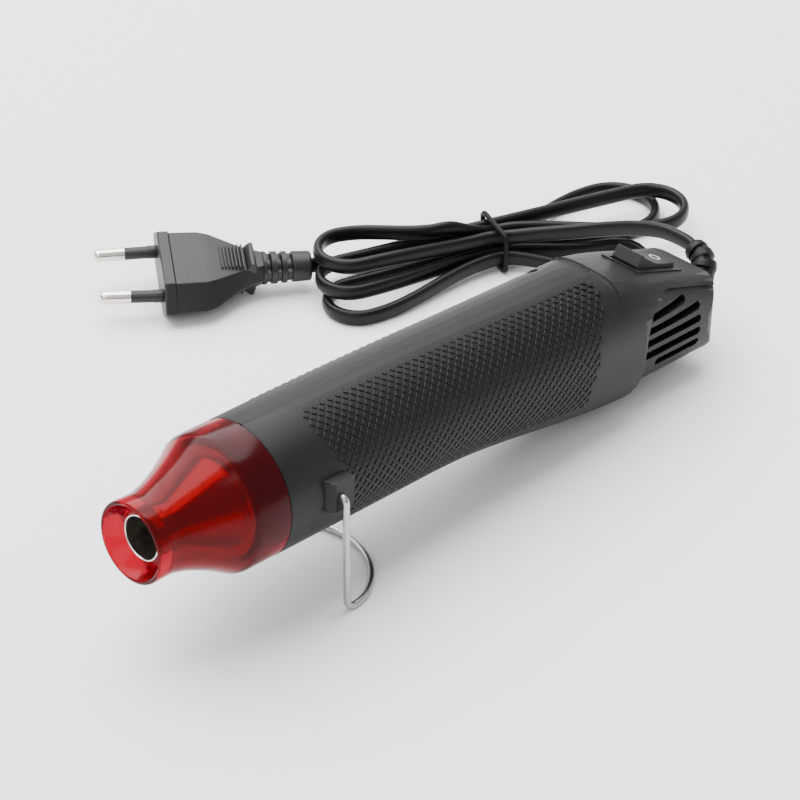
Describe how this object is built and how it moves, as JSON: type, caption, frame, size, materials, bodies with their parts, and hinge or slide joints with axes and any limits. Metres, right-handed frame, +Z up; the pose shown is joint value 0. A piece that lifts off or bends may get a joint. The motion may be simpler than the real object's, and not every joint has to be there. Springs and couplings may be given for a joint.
{
  "type": "embossing heat tool",
  "caption": "Slim embossing heat tool with a transparent red nozzle guard, gridded grip, rocker switch, fold-out wire stand, and its lead tied in a hank with a two-pin plug",
  "frame": {"origin": "On the floor under the middle of the tool itself, without its lead: the lowest face of the stand and belly is z = 0", "axes": "+X runs from the nozzle to the tail, +Z is up, +Y is the side on which the lead lies"},
  "size_m": [0.2696, 0.1702, 0.0567],
  "materials": {
    "shell": "matt moulded texture",
    "guard": "transparent red",
    "steel": "satin",
    "mica": "satin",
    "wire": "dull",
    "ceramic": "matt",
    "white_plastic": "satin",
    "blue_plastic": "satin",
    "dark_plastic": "satin",
    "board": "satin",
    "capacitor": "gloss",
    "rocker": "satin",
    "brass": "satin",
    "brown_lead": "satin",
    "blue_lead": "satin",
    "red_lead": "satin",
    "stand": "bright drawn wire",
    "cord": "satin",
    "plug": "matt",
    "nickel": "nickel plated"
  },
  "bodies": {
    "housing": {"left_shell": "shell", "right_shell": "shell", "nozzle_guard": "guard", "outlet_nozzle": "steel", "heater_barrel": "steel", "mica_sleeve": "mica", "mica_frame": "mica", "heating_coil": "wire", "thermal_fuse": "ceramic", "heater_disc": "ceramic", "fan_housing": "white_plastic", "motor_can": "steel", "motor_end_cap": "dark_plastic", "motor_sleeve": "dark_plastic", "rectifier_board": "board", "diodes": "dark_plastic", "capacitor": "capacitor", "switch_frame": "dark_plastic", "switch_terminals": "brass", "cord_clamp": "dark_plastic", "clamp_screws": "steel", "case_screws": "steel", "cord_inner_end": "cord", "splice_cap": "white_plastic", "live_lead": "brown_lead", "heater_lead": "brown_lead", "neutral_lead": "blue_lead", "motor_leads": "red_lead", "strain_relief": "cord", "cord_lead": "cord", "cord_hank": "cord", "cord_tie": "cord", "plug_body": "plug", "plug_relief": "plug", "pin_sleeves": "dark_plastic", "plug_pins": "nickel"},
    "stand": {"stand_wire": "stand"},
    "rocker": {"switch_rocker": "rocker"},
    "rotor": {"fan": "blue_plastic", "motor_shaft": "steel"}
  },
  "joints": [
    {"name": "stand_fold", "type": "hinge", "parent": "housing", "child": "stand", "pos_m": [-0.05343, 0, 0.037], "axis": [0, 1, 0], "range_deg": [0, 95]},
    {"name": "rocker_tilt", "type": "hinge", "parent": "housing", "child": "rocker", "pos_m": [0.0884, 0, 0.03386], "axis": [0, -1, 0], "range_deg": [0, 18.5]},
    {"name": "fan_spin", "type": "hinge", "parent": "housing", "child": "rotor", "pos_m": [-0.00159, 0, 0.03258], "axis": [0.9986, 0, -0.0523], "continuous": true}
  ]
}
